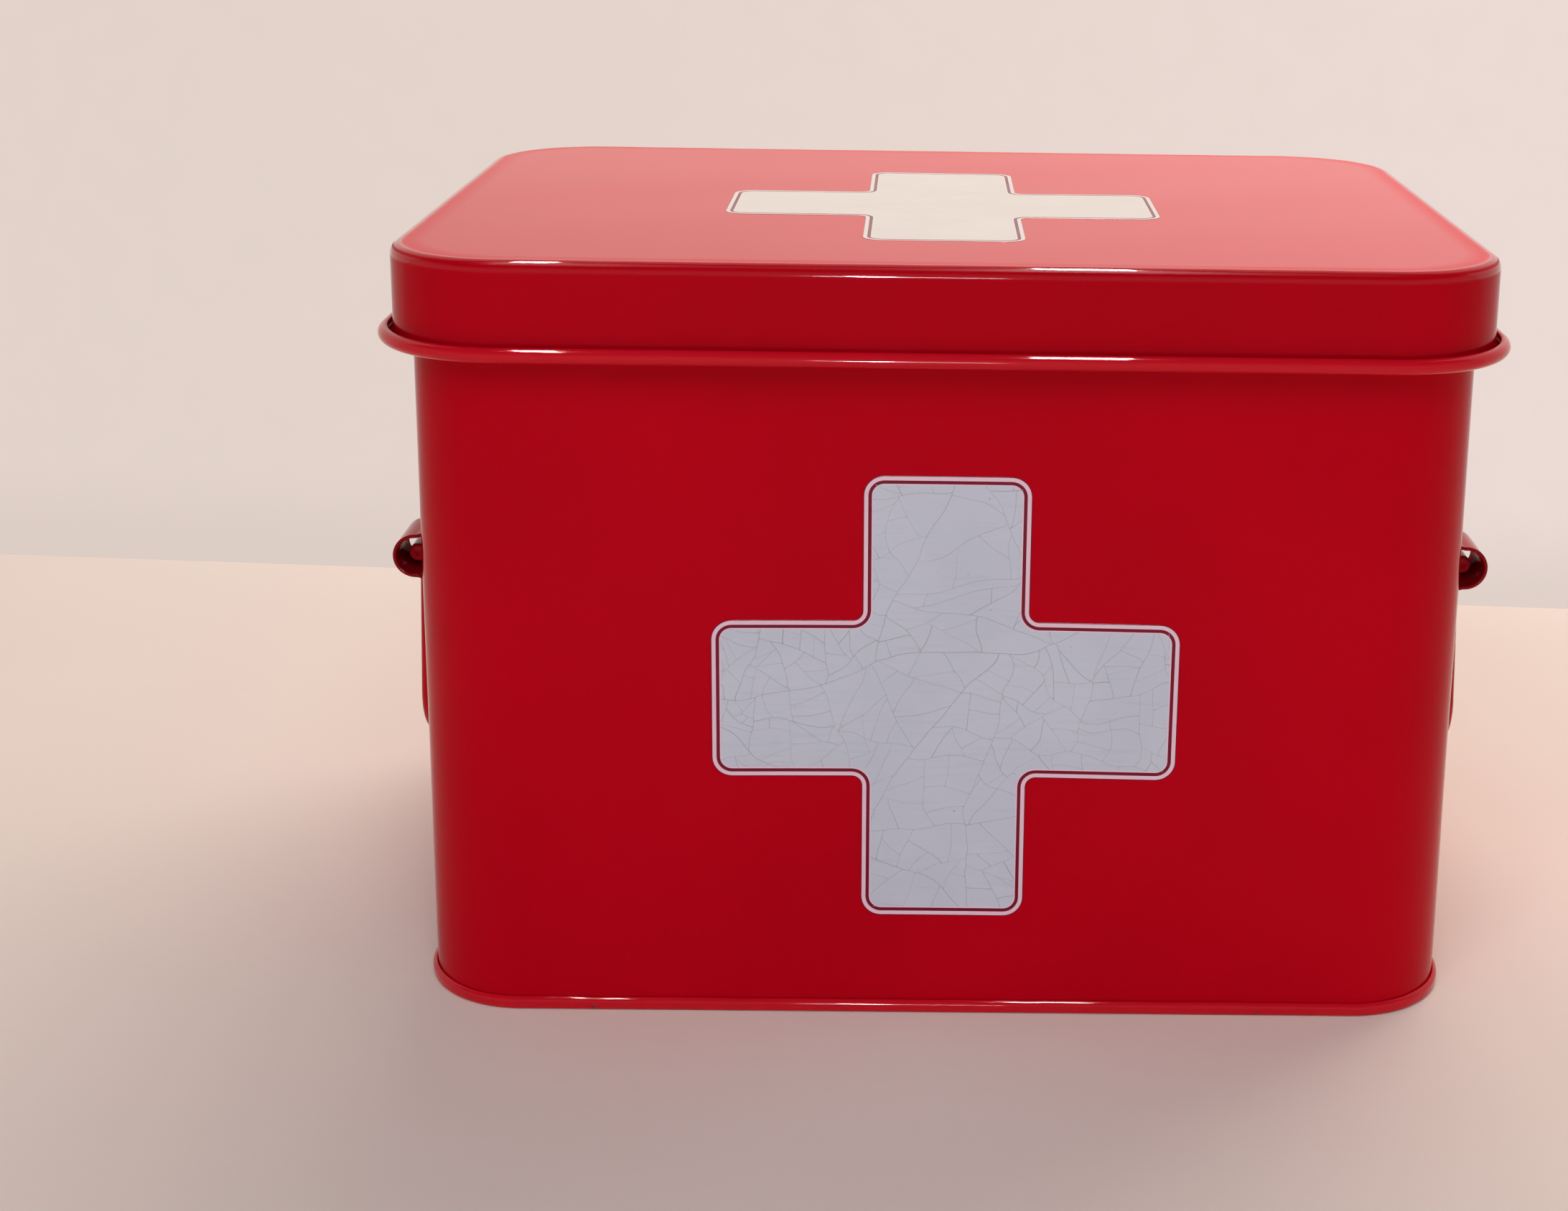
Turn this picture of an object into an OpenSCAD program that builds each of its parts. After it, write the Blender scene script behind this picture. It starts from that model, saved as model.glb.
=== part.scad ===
// First-aid tin: a round-cornered sheet-steel box with a lift-off lid and a drop handle on each side.
// Millimetres. The tin stands on Z = 0, centred on X and Y, and its front faces -Y.

/* [Body] */
// Width over the walls
body_w = 290; // [220:1:380]
// Depth over the walls
body_d = 210; // [180:1:300]
// Radius of the four upright corners, outside
corner_r = 28; // [16:0.5:40]
// Height of the middle of the rim's curl
rim_z = 189.5; // [170:0.5:260]
// Thickness of the sheet
sheet = 0.6; // [0.4:0.1:0.9]
// Width of the welded lap in the back wall
lap_w = 8; // [4:0.5:16]

/* [Rim] */
// Distance from the wall to the middle of the curl
ledge_out = 7.2; // [6:0.1:10]
// Radius of the curl, outside
curl_r = 2.1; // [1.6:0.1:3]
// How far the curl's edge is turned in past its crown
curl_lip = 0.3; // [0.1:0.1:0.6]
// Radius of the bend from the wall into the ledge
ledge_bend = 1.5; // [0.8:0.1:3]

/* [Foot] */
// How far the foot bead stands out from the wall
foot_out = 1.5; // [1.2:0.1:2.5]
// Height of the foot bead
foot_h = 3.6; // [3.2:0.1:6]
// Radius of the bead's lower edge
foot_under_r = 1; // [0.5:0.1:1.2]
// Height of the floor panel over the table
floor_z = 3.5; // [3:0.1:8]
// Radius of the bend from the floor panel into the seam
floor_bend = 1.2; // [0.6:0.1:2]
// Clearance between the wall and the fold that grips it
seam_gap = 0.1; // [0.05:0.05:0.2]

/* [Lid] */
// Height of the lid, from the lower edge of its skirt to its top
lid_h = 25.8; // [15:0.1:60]
// Gutter between the lid's skirt and the crown of the curl
gutter = 2; // [1:0.1:3]
// Radius of the lid's top edge, outside
lid_edge_r = 3; // [1.5:0.1:8]
// Height of the hem folded inside the skirt's lower edge
hem_h = 5; // [3:0.5:8]
// Clearance between the lid and the ledge it stands on
lid_seat = 0.2; // [0.1:0.05:0.5]

/* [Clips] */
// Height of the middle of a clip's loop
clip_z = 121; // [110:0.5:130]
// Distance between the middles of the two clips on one side
clip_span = 120; // [110:1:128]
// Width of the strap
clip_w = 18; // [12:0.5:20]
// Thickness of the strap
clip_t = 1; // [0.8:0.1:1.4]
// Radius of the loop, outside
loop_r = 6.3; // [6:0.1:8]
// How far the loop stands out from the wall
loop_out = 10.7; // [10.2:0.1:13]
// Radius of the bend from the loop into a flange
clip_bend = 3.3; // [1:0.1:3.3]
// Straight length of a flange on the wall
flange_h = 9; // [6:0.5:14]
// Radius of a flange's corners
flange_r = 3; // [1:0.5:4]

/* [Bails] */
// Diameter of the handle wire
wire_d = 5.2; // [4:0.1:5.8]
// Drop from the pivot to the middle of the grip
bail_drop = 59; // [40:1:62]
// Angle by which each leg leans out towards its clip
bail_splay = 8; // [0:1:12]
// Radius of the bend from a foot into a leg, at the wire's middle
foot_bend = 6; // [4.5:0.5:8]
// Radius of the bend from a leg into the grip, at the wire's middle
grip_bend = 12; // [6:0.5:20]
// Distance from a clip's outer end to the end of the wire inside it
foot_inset = 9; // [4:0.5:12]
// Clearance between the wire's foot and the loop it lies in
loop_play = 0.5; // [0.2:0.05:0.6]
// Angle round the loop, outwards from its lowest point, at which the wire lies
wire_lean = 30; // [0:1:60]
// Clearance between a clip's inner end and the start of the wire's bend
leg_gap = 0.5; // [0.2:0.1:2]

/* [Hidden] */
$fn = 96;
enamel = [0.64, 0.02, 0.07];

// The ledge is level with the bottom of the curl
ledge_z = rim_z - curl_r;
lid_z = ledge_z + sheet + lid_seat;
lid_out = ledge_out - gutter;
lid_w = body_w + 2 * lid_out;
lid_d = body_d + 2 * lid_out;
lid_r = corner_r + lid_out;

// The floor's edge goes down inside the wall, under it and up outside it
seam_in = 2 * sheet + seam_gap;
bead_t = foot_out - seam_gap;
floor_in = seam_in + floor_bend;

// Middle of a loop's round end, and the height of a whole clip
loop_x = loop_out - loop_r;
strap_bend = min(clip_bend, loop_x - clip_t - 0.1);
clip_h = 2 * (loop_r + strap_bend + flange_h);

// The wire lies low in its loops, and each foot ends inside its clip
wire_r = wire_d / 2;
loop_room = loop_r - clip_t - wire_r - loop_play;
pivot_x = loop_x + loop_room * sin(wire_lean);
pivot_z = clip_z - loop_room * cos(wire_lean);
clip_inner_y = (clip_span - clip_w) / 2;
foot_y = (clip_span + clip_w) / 2 - foot_inset;
bail_turn = 90 + bail_splay;
foot_tangent = foot_bend * tan(bail_turn / 2);
grip_tangent = grip_bend * tan(bail_turn / 2);
leg_y = clip_inner_y - leg_gap - foot_tangent;
grip_y = leg_y + bail_drop * tan(bail_splay);
// Straights of the wire run this far into a bend, where bending has drawn the wire thinner
bend_lap = 0.2;
bend_thin = 0.02;

// Quarter disc in the first quadrant
module quarter(r) {
    intersection() {
        circle(r);
        square(r);
    }
}

// Quarter of a bent sheet in the first quadrant, with r on the inside of the bend
module bend(r, t) {
    difference() {
        quarter(r + t);
        circle(r);
    }
}

// Rectangle with four round corners
module rounded(w, d, r) {
    square([w - 2 * r, d], center = true);
    square([w, d - 2 * r], center = true);
    for (x = [-1, 1], y = [-1, 1])
        translate([x * (w / 2 - r), y * (d / 2 - r)]) circle(r);
}

// Carries a profile once round a rounded rectangle: its X points outwards, and X = 0 is the outline
module around(w, d, r) {
    for (x = [0, 1], y = [0, 1])
        mirror([x, 0, 0]) mirror([0, y, 0])
            translate([w / 2 - r, d / 2 - r, 0])
                rotate_extrude(angle = 90) translate([r, 0]) children();
    for (y = [0, 1])
        mirror([0, y, 0]) translate([r - w / 2, d / 2, 0])
            rotate([90, 0, 90]) linear_extrude(w - 2 * r) children();
    for (x = [0, 1])
        mirror([x, 0, 0]) translate([w / 2, d / 2 - r, 0])
            rotate([90, 0, 0]) linear_extrude(d - 2 * r) children();
}

// Wall, ledge and curl as one bent sheet
module wall_profile() {
    translate([-sheet, sheet]) square([sheet, ledge_z - ledge_bend - sheet]);
    translate([ledge_bend, ledge_z - ledge_bend]) mirror([1, 0]) bend(ledge_bend, sheet);
    translate([ledge_bend, ledge_z]) square([ledge_out - ledge_bend, sheet]);
    translate([ledge_out, rim_z]) intersection() {
        difference() {
            circle(curl_r);
            circle(curl_r - sheet);
        }
        union() {
            translate([0, -curl_r]) square([curl_r, 2 * curl_r]);
            translate([-curl_lip, 0]) square([curl_lip, curl_r]);
        }
    }
}

module body_wall() {
    lap_z = foot_h + seam_gap;
    color(enamel) {
        around(body_w, body_d, corner_r) wall_profile();
        translate([-lap_w / 2, body_d / 2, lap_z])
            cube([lap_w, sheet, ledge_z - ledge_bend - lap_z]);
    }
}

// Fold that grips the wall's lower edge, with a rounded bead outside
module seam_profile() {
    translate([-seam_in, 0]) square([seam_in + foot_out - foot_under_r, sheet]);
    translate([-seam_in, 0]) square([sheet, floor_z - floor_bend]);
    translate([-floor_in, floor_z - floor_bend]) bend(floor_bend, sheet);
    translate([seam_gap, 0]) square([bead_t - foot_under_r, foot_under_r]);
    translate([foot_out - foot_under_r, foot_under_r]) mirror([0, 1]) quarter(foot_under_r);
    translate([seam_gap, foot_under_r]) square([bead_t, foot_h - bead_t - foot_under_r]);
    translate([seam_gap, foot_h - bead_t]) quarter(bead_t);
}

module bottom_pan() {
    color(enamel) {
        around(body_w, body_d, corner_r) seam_profile();
        translate([0, 0, floor_z]) linear_extrude(sheet)
            rounded(body_w - 2 * floor_in, body_d - 2 * floor_in, corner_r - floor_in);
    }
}

// Skirt with its hem and the round of the top edge
module skirt_profile() {
    translate([-sheet, 0]) square([sheet, lid_h - lid_edge_r]);
    translate([-2 * sheet, 0]) square([sheet, hem_h]);
    translate([-lid_edge_r, lid_h - lid_edge_r]) bend(lid_edge_r - sheet, sheet);
}

module lid() {
    color(enamel) translate([0, 0, lid_z]) {
        around(lid_w, lid_d, lid_r) skirt_profile();
        translate([0, 0, lid_h - sheet]) linear_extrude(sheet)
            rounded(lid_w - 2 * lid_edge_r, lid_d - 2 * lid_edge_r, lid_r - lid_edge_r);
    }
}

// Upper half of the strap: X points away from the wall, and Y = 0 is the middle of the loop
module strap_half() {
    bend_x = clip_t + strap_bend;
    translate([loop_x, 0]) bend(loop_r - clip_t, clip_t);
    translate([bend_x, loop_r - clip_t]) square([loop_x - bend_x, clip_t]);
    translate([bend_x, loop_r + strap_bend]) rotate(180) bend(strap_bend, clip_t);
    translate([0, loop_r + strap_bend]) square([clip_t, flange_h]);
}

// Clip on the right wall for side 1 and the left wall for -1, in front for end -1 and behind for 1
module clip(side, end) {
    color(enamel)
        translate([side * body_w / 2, end * clip_span / 2, clip_z])
            mirror([side < 0 ? 1 : 0, 0, 0])
                intersection() {
                    rotate([90, 0, 0]) linear_extrude(clip_w, center = true) {
                        strap_half();
                        mirror([0, 1]) strap_half();
                    }
                    rotate([90, 0, 90]) linear_extrude(loop_out) rounded(clip_w, clip_h, flange_r);
                }
}

// Straight length of wire along X that laps into the bends at both its ends
module straight(length) {
    translate([-bend_lap, 0, 0]) rotate([0, 90, 0]) cylinder(h = length + 2 * bend_lap, r = wire_r);
}

// Bend of the wire that starts on the X axis, at its radius r, and turns anticlockwise
module wire_bend(r) {
    rotate_extrude(angle = bail_turn) translate([r, 0]) circle(wire_r - bend_thin);
}

// Half of the bail in its own plane: X is along the wall, and Y = 0 is the pivot
module half_bail() {
    foot_x = leg_y + foot_tangent;
    grip_x = grip_y - grip_tangent;
    leg_length = bail_drop / cos(bail_splay) - foot_tangent - grip_tangent;
    translate([foot_x, 0, 0]) straight(foot_y - foot_x - bend_lap);
    translate([foot_x, -foot_bend, 0]) rotate(90) wire_bend(foot_bend);
    translate([leg_y, 0, 0]) rotate(bail_splay - 90) translate([foot_tangent, 0, 0]) straight(leg_length);
    translate([grip_x, grip_bend - bail_drop, 0]) rotate(-90) wire_bend(grip_bend);
    translate([0, -bail_drop, 0]) straight(grip_x);
}

// Bail hanging from the right wall for side 1 and the left wall for -1
module bail(side) {
    color(enamel)
        translate([side * (body_w / 2 + pivot_x), 0, pivot_z])
            rotate([90, 0, 90]) {
                half_bail();
                mirror([1, 0, 0]) half_bail();
            }
}

body_wall();
bottom_pan();
lid();
clip(-1, -1);  // left_front_clip
clip(-1, 1);  // left_rear_clip
clip(1, -1);  // right_front_clip
clip(1, 1);  // right_rear_clip
bail(-1);  // left_bail
bail(1);  // right_bail
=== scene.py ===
import math

import bpy
import numpy as np
from mathutils import Matrix


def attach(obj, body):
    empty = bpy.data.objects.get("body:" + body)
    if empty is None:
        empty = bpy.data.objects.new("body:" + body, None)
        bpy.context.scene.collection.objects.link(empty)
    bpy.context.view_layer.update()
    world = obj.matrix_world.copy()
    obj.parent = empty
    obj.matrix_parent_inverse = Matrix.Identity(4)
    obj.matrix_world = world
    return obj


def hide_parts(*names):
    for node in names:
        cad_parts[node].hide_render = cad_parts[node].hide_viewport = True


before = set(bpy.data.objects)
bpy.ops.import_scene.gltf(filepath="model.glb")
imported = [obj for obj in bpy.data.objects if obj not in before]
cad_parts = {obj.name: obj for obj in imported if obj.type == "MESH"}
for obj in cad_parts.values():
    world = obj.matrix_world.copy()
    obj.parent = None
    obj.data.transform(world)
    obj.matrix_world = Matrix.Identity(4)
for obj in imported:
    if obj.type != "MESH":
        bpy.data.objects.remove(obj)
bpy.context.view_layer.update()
mm = 0.001  # sizes below are millimetres, meshes are metres
print("frame loaded:", len(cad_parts), "nodes")

scene = bpy.context.scene
scene.view_settings.view_transform = "Standard"


# camera

photoView = {
    "eye": (-7.2, -712.9, 326.9),  # mm
    "yaw": 0.805, "pitch": 14.228, "roll": 0.926,
    "focal": 3306.5,  # pixels of the photograph
    "axis": (1324.3, 581.4),  # where the optical axis meets it
    "size": (2184, 1687),
    "sensor": 36.0,  # mm
    "near": 0.01, "far": 50.0,  # metres
}


def facing(right, up, ahead, place):
    # matrix of a camera or lamp that stands at place, in metres, and looks along ahead
    turned = np.eye(4)
    turned[:3, :3] = np.stack([right, up, -ahead], 1)
    turned[:3, 3] = place
    return Matrix(turned.tolist())


def aimCamera(view):
    # forward is yaw to the right and pitch down from +Y, right is level, and roll turns both about forward
    yaw, pitch, roll = np.radians([view["yaw"], view["pitch"], view["roll"]])
    ahead = np.array([math.sin(yaw) * math.cos(pitch), math.cos(yaw) * math.cos(pitch), -math.sin(pitch)])
    level = np.array([math.cos(yaw), -math.sin(yaw), 0.0])
    upright = np.cross(level, ahead)
    right = math.cos(roll) * level + math.sin(roll) * upright
    up = math.cos(roll) * upright - math.sin(roll) * level
    wide, high = view["size"]
    data = bpy.data.cameras.new("photoCamera")
    data.sensor_fit = "HORIZONTAL"
    data.sensor_width = view["sensor"]
    data.lens = view["sensor"] * view["focal"] / wide
    data.shift_x = (wide / 2 - view["axis"][0]) / wide
    data.shift_y = (view["axis"][1] - high / 2) / wide
    data.clip_start, data.clip_end = view["near"], view["far"]
    camera = bpy.data.objects.new("photoCamera", data)
    scene.collection.objects.link(camera)
    camera.matrix_world = facing(right, up, ahead, np.array(view["eye"]) * mm)
    scene.camera = camera


aimCamera(photoView)
print("camera set")


# lines and surfaces

def spaced(start, end, steps, ease=0.75):
    # numbers from start to end, closer together at both ends: a mix of even steps and half a cosine wave
    t = np.linspace(0, 1, steps + 1)
    t = (1 - ease) * t + ease * (0.5 - 0.5 * np.cos(np.pi * t))
    return start + (end - start) * t


def run(start, end, steps, ease=0.9):
    # straight line from start to end
    t = spaced(0, 1, steps, ease)[:, None]
    return np.array(start, float) * (1 - t) + np.array(end, float) * t


def arc(x, z, radius, start, end, steps):
    # part of a circle about (x, z), from start to end degrees
    a = np.radians(np.linspace(start, end, steps + 1))
    return np.stack([x + radius * np.cos(a), z + radius * np.sin(a)], 1)


def chain(*lines):
    # lines end to end, with each shared point kept once
    return np.concatenate([lines[0]] + [line[1:] for line in lines[1:]])


def lengths(line):
    # length along a line from its first point to each of its points
    return np.r_[0, np.cumsum(np.hypot(*np.diff(line, axis=0).T))]


def headings(line):
    # unit vectors along a line
    ahead = np.gradient(line, axis=0)
    return ahead / np.hypot(*ahead.T)[:, None]


def ramp(value, start, length):
    # 0 up to start, then rising evenly to 1 over length
    return np.clip((value - start) / length, 0, 1)


def bell(value, centre, width):
    # 1 at centre, falling to both sides as exp(-((value - centre) / width) squared)
    return np.exp(-((value - centre) / width) ** 2)


def quarterRound(value, radius):
    # height of a quarter circle of that radius over the way in from its start, and radius beyond it
    return np.sqrt(np.clip(radius ** 2 - np.clip(radius - value, 0, radius) ** 2, 0, None))


def ripple(p, q, seed, longest, shortest, count=7):
    # sum of sine waves over (p, q) with seeded directions, lengths and phases, between about -1 and 1;
    # a piece's waves are a seed, the longest and shortest in mm, and their count where it isn't 7
    rng = np.random.default_rng(seed)
    heading = rng.uniform(0, np.pi, count)
    number = 2 * np.pi / rng.uniform(shortest, longest, count)
    phase = rng.uniform(0, 2 * np.pi, count)
    along = p[..., None] * np.cos(heading) + q[..., None] * np.sin(heading)
    return np.sin(along * number + phase).sum(-1) / math.sqrt(count * 2)


outlineSteps = {"front": 52, "side": 36, "turn": 32, "lapped": 40}


def tinOutline(width, depth, corner, lap=None):
    # stations anticlockwise from the front left; the point at offset o is base + (corner + o) * normal
    long, short = width / 2 - corner, depth / 2 - corner
    front = spaced(-long, long, outlineSteps["front"])[:-1]
    side = spaced(-short, short, outlineSteps["side"])[:-1]
    back = front
    if lap is not None:
        back = np.unique(np.r_[spaced(-long, long, outlineSteps["lapped"])[:-1], lap])
    turn = np.linspace(0, 90, outlineSteps["turn"], endpoint=False)
    # x, y and the normal's angle along each side and round the corner after it
    runs = (
        (front, -short, -90), (long, -short, turn - 90), (long, side, 0), (long, short, turn),
        (-back, short, 90), (-long, short, turn + 90), (-long, -side, 180), (-long, -short, turn + 180),
    )
    x, y, angle = np.concatenate([np.stack(np.broadcast_arrays(*parts)) for parts in runs], 1)
    base = np.stack([x, y], 1)
    normal = np.stack([np.cos(np.radians(angle)), np.sin(np.radians(angle))], 1)
    return {"base": base, "normal": normal, "corner": corner, "angle": angle,
            "length": lengths(base + corner * normal)}


def carry(outline, profile, bulge):
    # point(u, v) = base(u) + (corner + offset(v) + bulge(u, v)) * normal(u), at height(v)
    reach = outline["corner"] + profile[None, :, 0] + bulge
    flat = outline["base"][:, None, :] + reach[..., None] * outline["normal"][:, None, :]
    height = np.broadcast_to(profile[None, :, 1, None], flat.shape[:2] + (1,))
    return np.concatenate([flat, height], -1)


def inwards(ring, steps):
    # rings that shrink a closed line towards the middle of the tin, without the line and the middle
    share = np.linspace(1, 0, steps + 1)[1:-1]
    rings = ring[:, None, :] * np.r_[1, 1, 0] * share[None, :, None]
    rings[..., 2] = ring[:, None, 2]
    return rings


def fromEdge(x, y, halfX, halfY):
    # 1 in the middle of a panel and 0 at its edge: (1 - x squared) * (1 - y squared), in halves of its sides
    return np.clip(1 - (x / halfX) ** 2, 0, 1) * np.clip(1 - (y / halfY) ** 2, 0, 1)


def skin(grid, loop=False, first=None, last=None):
    # quads between neighbouring points of a grid that closes round u, and fans to a pole at either end of v
    around, along = grid.shape[:2]
    ids = np.arange(around * along).reshape(around, along)
    step = np.roll(ids, -1, axis=0)
    if loop:
        quads = np.stack([ids, step, np.roll(step, -1, axis=1), np.roll(ids, -1, axis=1)], -1)
    else:
        quads = np.stack([ids[:, :-1], step[:, :-1], step[:, 1:], ids[:, 1:]], -1)
    points, faces = grid.reshape(-1, 3), quads.reshape(-1, 4).tolist()
    if first is not None:
        tip = np.full(around, len(points))
        faces += np.stack([tip, step[:, 0], ids[:, 0]], 1).tolist()
        points = np.vstack([points, first])
    if last is not None:
        tip = np.full(around, len(points))
        faces += np.stack([ids[:, -1], step[:, -1], tip], 1).tolist()
        points = np.vstack([points, last])
    return points, faces


def facesOut(points, faces):
    # the signed volume of the shell is positive where its faces point outwards
    corners = np.array([f[:3] for f in faces] + [[f[0], f[2], f[-1]] for f in faces])
    a, b, c = points[corners[:, 0]], points[corners[:, 1]], points[corners[:, 2]]
    return (a * np.cross(b, c)).sum() > 0


def makePiece(name, surface, body, paint, nodes, marks):
    # a mesh from points and faces, with each mark as a number per point, riding on its body
    points, faces = surface
    if not facesOut(points, faces):
        faces = [f[::-1] for f in faces]
    mesh = bpy.data.meshes.new(name)
    mesh.from_pydata((points * mm).tolist(), [], faces)
    mesh.polygons.foreach_set("use_smooth", np.ones(len(faces), bool))
    for key, values in marks.items():
        # a mark along the profile repeats round the piece, and a pole has none
        repeats = len(points) // values.size
        full = np.zeros(len(points), np.float32)
        full[:repeats * values.size] = np.tile(values.ravel(), repeats)
        mesh.attributes.new(key, "FLOAT", "POINT").data.foreach_set("value", full)
    mesh.update()
    mesh.materials.append(paint)
    piece = bpy.data.objects.new(name, mesh)
    scene.collection.objects.link(piece)
    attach(piece, body)
    if nodes:
        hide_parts(*nodes)


# paint

class Term:
    # a socket that takes part in sums like a number
    def __init__(self, paint, socket):
        self.paint = paint
        self.socket = socket

    def maths(self, kind, left, right):
        return self.paint.node("ShaderNodeMath", {"operation": kind}, {0: left, 1: right})

    def __add__(self, other):
        return self.maths("ADD", self, other)

    def __sub__(self, other):
        return self.maths("SUBTRACT", self, other)

    def __rsub__(self, other):
        return self.maths("SUBTRACT", other, self)

    def __mul__(self, other):
        return self.maths("MULTIPLY", self, other)

    __radd__, __rmul__ = __add__, __mul__


class Paint:
    # the node tree of a material or the world, with the nodes that this scene uses
    def __init__(self, owner, space="Object"):
        owner.use_nodes = True
        self.owner = owner
        self.tree = owner.node_tree
        self.place = self.node("ShaderNodeTexCoord", {}, {}, space)

    def node(self, kind, settings, inputs, out=0):
        # settings come first, then the values or links of its sockets
        made = self.tree.nodes.new(kind)
        for key, value in settings.items():
            setattr(made, key, value)
        for key, value in inputs.items():
            if isinstance(value, Term):
                self.tree.links.new(value.socket, made.inputs[key])
            else:
                made.inputs[key].default_value = value
        return Term(self, made.outputs[out])

    def noise(self, size, detail, rough=0.5, place=None):
        # size is the width of the noise's lumps in mm
        return self.node("ShaderNodeTexNoise", {}, {"Vector": place or self.place, "Scale": 1 / (size * mm),
                                                    "Detail": detail, "Roughness": rough})

    def rise(self, value, low, high):
        # 0 below low, 1 above high, smooth in between
        return self.node("ShaderNodeMapRange", {"interpolation_type": "SMOOTHSTEP"},
                         {"Value": value, "From Min": low, "From Max": high})

    def mix(self, share, under, over):
        # under where share is 0, over where it is 1
        return self.node("ShaderNodeMix", {"data_type": "RGBA"}, {0: share, 6: under, 7: over}, 2)

    def mark(self, key):
        # a number that each point of the mesh has
        return self.node("ShaderNodeAttribute", {"attribute_name": key}, {}, "Fac")

    def bump(self, height):
        # height in mm
        return self.node("ShaderNodeBump", {}, {"Strength": 1.0, "Distance": mm, "Height": height})

    def feed(self, links, numbers):
        # what varies over the surface, then what doesn't
        shader = self.tree.nodes["Principled BSDF"]
        for key, value in links.items():
            self.tree.links.new(value.socket, shader.inputs[key])
        for key, value in numbers.items():
            shader.inputs[key].default_value = value
        return self.owner

    def looking(self):
        # 1 for what the camera sees, straight or in reflections and glass, and 0 for other light
        kinds = ("Is Camera Ray", "Is Glossy Ray", "Is Transmission Ray")
        camera, gloss, through = [self.node("ShaderNodeLightPath", {}, {}, kind) for kind in kinds]
        return camera + gloss + through

    def show(self, end, share, first, second):
        # first where share is 0, second where it is 1, at the end of the tree
        both = self.node("ShaderNodeMixShader", {}, {0: share, 1: first, 2: second})
        self.tree.links.new(both.socket, self.tree.nodes[end].inputs["Surface"])


enamelLook = {
    "red": (0.585, 0.0, 0.010, 1), "deep": (0.55, 0.0, 0.009, 1), "thin": (0.625, 0.002, 0.014, 1),
    # the near-black red paints shade and the pale red paints light
    "shade": (0.16, 0.0, 0.004, 1), "paintedLight": (0.92, 0.024, 0.044, 1), "steel": (0.075, 0.05, 0.045, 1),
    "ior": 1.13, "rough": 0.06, "innerRough": 0.2, "coatIor": 1.3, "coatRough": 0.03,
    "smearRough": 0.03, "chipRough": 0.4, "thinShare": 0.6, "speckShare": 0.35, "edgeChips": 0.1,
    # mm
    "cloudSize": 60, "thinSize": 9, "speckSize": 0.9, "chipSize": 2.2, "chipPatch": 38, "smearSize": 34,
    "peel": 3.2, "peelDepth": 0.006, "fine": 0.8, "fineDepth": 0.0008, "chipDepth": 0.04,
}


def redEnamel(name, look, chips=1.0):
    # stoved red enamel: faintly cloudy, with orange peel; thin, rarely chipped and glossiest on its edges;
    # with painted light and painted shade where the piece marks them
    p = Paint(bpy.data.materials.new(name))
    edge, inner, gloss = p.mark("edge"), p.mark("inner"), p.mark("gloss")
    cloud = p.rise(p.noise(look["cloudSize"], 3), 0.3, 0.7)
    colour = p.mix(cloud, look["deep"], look["red"])
    worn = p.rise(p.noise(look["thinSize"], 3), 0.4, 0.7)
    colour = p.mix(edge * look["thinShare"] * worn, colour, look["thin"])
    # painted light: a pale red where the piece is marked lit
    colour = p.mix(p.mark("paintedLight"), colour, look["paintedLight"])
    # painted shade: a near-black red where the piece is marked shaded
    colour = p.mix(p.mark("shade"), colour, look["shade"])
    speck = p.rise(p.noise(look["speckSize"], 1), 0.80, 0.83)
    colour = p.mix(speck * look["speckShare"], colour, look["steel"])
    flake = p.noise(look["chipSize"], 4, 0.6) + edge * (look["edgeChips"] * chips)
    chip = p.rise(flake, 0.78, 0.79) * p.rise(edge, 0.2, 0.5)
    chip = chip * p.rise(p.noise(look["chipPatch"], 1), 0.5, 0.6)
    colour = p.mix(chip, colour, look["steel"])
    smear = p.rise(p.noise(look["smearSize"], 4, 0.6), 0.4, 0.8)
    rough = look["rough"] + smear * look["smearRough"] + inner * look["innerRough"] + chip * look["chipRough"]
    height = p.noise(look["peel"], 1) * look["peelDepth"] + p.noise(look["fine"], 1) * look["fineDepth"]
    height = height - chip * look["chipDepth"]
    return p.feed({"Base Color": colour, "Roughness": rough, "Normal": p.bump(height),
                   "Coat Weight": gloss * (1 - chip)},
                  {"IOR": look["ior"], "Metallic": 0.0, "Coat IOR": look["coatIor"],
                   "Coat Roughness": look["coatRough"]})


printLook = {
    "field": (0.682, 0.72, 0.834, 1), "shade": (0.65, 0.687, 0.80, 1), "pale": (0.98, 0.66, 0.79, 1),
    "maroon": (0.20, 0.0, 0.022, 1), "line": (0.12, 0.001, 0.018, 1), "crack": (0.36, 0.37, 0.42, 1),
    "dirt": (0.08, 0.07, 0.085, 1),
    "ior": 1.36, "rough": 0.16, "smearRough": 0.06, "crackRough": 0.3, "brushShare": 0.10, "speckShare": 0.8,
    # mm, the bands in from the outline: hairline, pale band, maroon band, pale line
    "bands": (0.25, 1.35, 2.3, 2.65), "soft": 0.04,
    "cloudSize": 30, "brushSize": 16, "speckSize": 0.9, "smearSize": 22,
    "crackCloud": 6, "spotSize": 2.6, "crackSmear": 4,
    "peel": 2.1, "peelDepth": 0.009, "fine": 0.5, "fineDepth": 0.001,
}


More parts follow.
